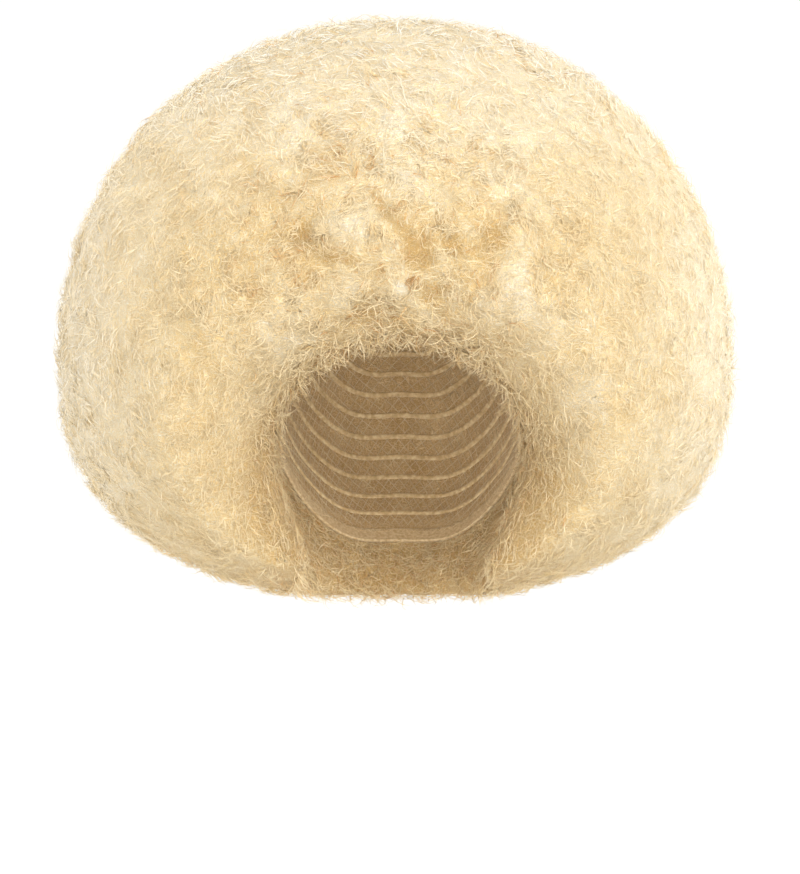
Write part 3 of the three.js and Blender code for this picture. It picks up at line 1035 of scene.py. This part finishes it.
def make_hairline():
    """Curls drawn evenly along the rim and by a power of a draw back from it. They head for the
    opening, turned aside by a normal draw."""
    count = HAIRLINE_CURLS
    around = np.linspace(0, 2 * np.pi, 721)
    rim = hair_surface(around, 1.0)
    walked = np.concatenate([[0], np.cumsum(np.linalg.norm(np.diff(rim, axis=0), axis=1))])
    turn = np.interp(rng.uniform(0, walked[-1], count), walked, around)
    share = 1 - HAIRLINE_DEPTH * rng.random(count) ** ROOTS_TO_RIM
    base = hair_surface(turn, share)
    edge = cap_surface(turn, 1 - EDGE_DEPTH * rng.random(count), EDGE_LIFT)
    base[:RIM_CURLS] = edge[:RIM_CURLS]
    openward = direction(turn, rim_fall(turn) + np.pi / 2)
    outward = unit(base - HEAD_CENTRE)
    normal = unit(outward - openward * (outward * openward).sum(-1, keepdims=True))
    ahead = turned(openward, normal, rng.normal(0, 1.0, count))
    length = rng.uniform(*HAIRLINE_LENGTH, count)
    rise = rng.uniform(0.1, 0.7, count)
    bend = rise + rng.uniform(0, 1.0, count)
    swing = rng.normal(0, 3.4, count)
    paths = grow_paths(base, normal, ahead, length, rise, bend, swing, np.zeros(count), 5)
    thickness = rng.uniform(*HAIRLINE_THICKNESS, count)
    points, faces, place = strand_mesh(paths, thickness, TIP_SHARE)
    own = HAIRLINE_PALER + HAIRLINE_GLINT_CONTRAST * glints_and_own_lightness(count)
    return points, faces, tone_of_hair(base, len(points) // count, place, own)


def put_curls(name, points, faces, tone):
    """One piece of all its curls, with the finish of the hair."""
    put_mesh(name, points, faces, curl_fibre, tone)


put_curls("hairline_curls", *make_hairline())


def join(parts):
    """One mesh's points, faces and tones from several."""
    starts = np.cumsum([0] + [len(points) for points, _, _ in parts[:-1]])
    faces = [faces + start for (_, faces, _), start in zip(parts, starts)]
    points, _, tones = zip(*parts)
    return np.concatenate(points), np.concatenate(faces), np.concatenate(tones)


for number, outside in masses.items():
    put_curls(f"curls_{number}", *join([make_frizz(outside), make_waves(outside)]))

# %% [markdown]
# ## The cap
#
# Inside, the cap is a soft stretch net, through which the roots show. It could be a picture of a
# net on a plain shell, but here the threads are real: they run straight both ways on the flat net,
# which is then drawn over the head.

# %% Net and its backing
CAP_COLUMNS = 240
NET_SPACING = 6.0    # real net is finer; this is as fine as the picture can show
NET_THREAD = 0.5
NET_LIFT = 0.15      # how far the threads' centres lie inside the cap's inner face
CAP_RUN = 168        # from the swirl to the rim along the cap
NET_REACH = 0.925    # share of the way to the rim at which the threads end
OUTER_ROWS, INNER_ROWS = 9, 19
BACKING_TONE, BACKING_PATCH = 0.25, 12
ROOT_COLOURS = [(0.1, "#b9915c"), (0.4, "#d8b784"), (0.7, "#ecd3a4"), (1.0, "#fae9c6")]


def cap_end(turn):
    """Share at which the net ends, a gap away from the elastic band."""
    return 1 - width_share(cap_outside, turn, 1.0, BAND_WIDTH + CLEARANCE)


def tinted_material(name, stops, roughness, texture_size, bump_height, sheen):
    """Matt textile whose colour wanders between hex stops, over a fine bump."""
    material, tree, shader = new_material(name, {"Roughness": roughness, "Sheen Weight": sheen})
    place = add_node(tree, "TexCoord").outputs["Object"]
    colour = add_ramp(tree, add_noise(tree, place, texture_size, 4)["Fac"], stops)
    tree.links.new(colour, shader.inputs["Base Color"])
    add_bump(tree, shader, add_noise(tree, place, MM, 2)["Fac"], 0.6, bump_height)
    return material


# Dyed roots seen through the net: darker than the curls, and streaky, as they lie pressed flat
roots_under_net = fibre_material("fibre roots pressed under the net", ROOT_COLOURS, streaked=True)
# Stretch nylon yarn: half matt, with a soft sheen, so that the threads stand off the roots
nylon_net = tinted_material("knitted nylon net thread",
                            [(0.4, "#dcc59b"), (0.6, "#ecdab6")], 0.5, 0.012, 0.1, 0.3)


def make_backing():
    """Shell of the cap: rows down its outside and back up its inside, closed at two poles."""
    turn = even_turns(CAP_COLUMNS)[None, :]
    rows = np.concatenate([np.linspace(0, 1, OUTER_ROWS), np.linspace(1, 0, INNER_ROWS)])
    offset = np.repeat([CAP_WALL, 0], [OUTER_ROWS, INNER_ROWS])
    points = cap_surface(turn, rows[:, None] * cap_end(turn), offset[:, None])
    faces = grid_faces(len(points), CAP_COLUMNS, closed_rows=False)
    tone = BACKING_TONE + 0.1 * soft_noise(points, BACKING_PATCH, 31).ravel()
    piece = put_mesh("net_backing", points.reshape(-1, 3), faces, roots_under_net, tone)
    weld_poles(piece)
    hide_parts("net_cap")


def make_threads():
    """Two families of straight lines on a disc whose radius is the cap's share and whose angle is
    the turn."""
    offset = np.arange(-NET_REACH, NET_REACH, NET_SPACING / CAP_RUN)[1:, None]
    along = np.sqrt(NET_REACH ** 2 - offset ** 2) * np.linspace(-1, 1, 32)
    offset = np.broadcast_to(offset, along.shape)
    a = np.concatenate([along + offset, along - offset]) / np.sqrt(2)
    b = np.concatenate([along - offset, -along - offset]) / np.sqrt(2)
    share = np.hypot(a, b)
    paths = cap_surface(np.arctan2(b, a), share, -NET_LIFT)
    points, faces, _ = strand_mesh(paths, np.full(len(paths), NET_THREAD), 1)
    put_mesh("net_threads", points, faces, nylon_net)


make_backing()
make_threads()

# %% [markdown]
# ## Seams of the wefts
#
# The wefts are machine-sewn tapes that go round the cap in loops, a finger's width apart. Inside
# they read as ribs with a zigzag along each. Both are profiles carried round a loop, because a bump
# would leave the ribs without a shadow.

# %% Tapes and zigzag
TAPE_LOOPS = 11
TAPE_WIDTH, TAPE_HEIGHT = 3.4, 1.0
STITCH_PITCH, STITCH_WIDTH, STITCH_THREAD = 3.2, 2.6, 0.55


def loop_mesh(path, section):
    """A closed profile carried round a closed path. Its first number is across the path, and its
    second is towards the head's centre."""
    along = unit(np.roll(path, -1, 0) - np.roll(path, 1, 0))
    inward = unit(HEAD_CENTRE - path)
    across = unit(np.cross(along, inward))
    inward = np.cross(across, along)
    points = path[:, None] + section[:, :1] * across[:, None] + section[:, 1:] * inward[:, None]
    return points.reshape(-1, 3), grid_faces(len(path), len(section), closed_rows=True)


def oval_section(width, height, sides, power):
    """Superellipse: cosine and sine raised to a power, so it is flatter than an ellipse."""
    angle = even_turns(sides)
    c, d = np.cos(angle), np.sin(angle)
    return np.stack([np.sign(c) * np.abs(c) ** power * width / 2,
                     np.sign(d) * np.abs(d) ** power * height / 2], -1)


def zigzag_loop(level, lift):
    """Thread round the cap that swings to either side of a level, which is a function of turn."""
    around = even_turns(360)
    middle = cap_surface(around, level(around), 0)
    length = np.linalg.norm(np.roll(middle, -1, 0) - middle, axis=1).sum()
    count = 2 * int(length / STITCH_PITCH)
    turn = even_turns(count)
    swing = STITCH_WIDTH / 2 * (-1) ** np.arange(count)
    share = level(turn) + width_share(cap_outside, turn, level(turn), swing)
    path = cap_surface(turn, share, -lift)
    return loop_mesh(path, oval_section(STITCH_THREAD, STITCH_THREAD, 3, 1))


def make_seams():
    """A tape and its zigzag at each of the loops' levels, which divide the net evenly."""
    meshes = []
    around = even_turns(140)
    for loop in range(1, TAPE_LOOPS + 1):
        def level(turn, loop=loop):
            """Share of the cap at which this loop runs."""
            return cap_end(turn) * loop / (TAPE_LOOPS + 1)
        tape = cap_surface(around, level(around), -TAPE_HEIGHT / 2)
        meshes.append(loop_mesh(tape, oval_section(TAPE_WIDTH, TAPE_HEIGHT, 8, 0.7)))
        meshes.append(zigzag_loop(level, TAPE_HEIGHT))
    return join([(points, faces, np.zeros(len(points))) for points, faces in meshes])


# Woven cotton tape and its thread: quite matt, with a weave just fine enough to show
stitched_tape = tinted_material("machine-sewn weft tape",
                                [(0.35, "#cdb180"), (0.5, "#dfc596"), (0.65, "#efdcb4")],
                                0.7, 0.003, 0.25, 0.3)
points, faces, _ = make_seams()
put_mesh("weft_seams", points, faces, stitched_tape)

# %% [markdown]
# ## The elastic
#
# The cap ends in a knitted elastic band as wide as a finger. Rubber cords run along it, so its
# face is ribbed, and a zigzag holds it to the net.

# %% Ribbed elastic band
BAND_CORDS = 7
CORD_RELIEF = 0.35
STITCH_INSET = 2  # from the band's upper edge


def make_band():
    """A section carried round the rim: a plain outer face, and an inner one with ribs, which are
    arches of a sine."""
    t = np.linspace(0, 1, 4 * BAND_CORDS + 1)
    cords = CORD_RELIEF * (np.abs(np.sin(np.pi * BAND_CORDS * t)) - 1)
    inner = BAND_WALL - CAP_WALL + cords
    place = np.concatenate([t[::-1], np.linspace(0, 1, 4)])
    offset = np.concatenate([-inner[::-1], np.full(4, float(CAP_WALL))])
    turn = even_turns(CAP_COLUMNS)[None, :]
    width = width_share(cap_outside, turn, 1.0, BAND_WIDTH)
    share = 1 - width * (1 - place[:, None])
    points = cap_surface(turn, share, offset[:, None])
    return points.reshape(-1, 3), grid_faces(len(points), CAP_COLUMNS, closed_rows=True)


# Knitted yarn over rubber: matt, a shade darker than the net, as it is denser
knitted_elastic = tinted_material("knitted elastic over rubber cords",
                                  [(0.35, "#c2a67a"), (0.5, "#d2b98f"), (0.65, "#e0cba5")],
                                  0.65, 0.002, 0.3, 0.2)
band = put_mesh("elastic_edge", *make_band(), knitted_elastic)
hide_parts("edge_band")


def band_stitch_level(turn):
    """Share of the cap a little under the band's upper edge."""
    return 1 - width_share(cap_outside, turn, 1.0, BAND_WIDTH - STITCH_INSET)


stitch = put_mesh("elastic_stitching", *zigzag_loop(band_stitch_level, BAND_WALL - CAP_WALL),
                  stitched_tape)
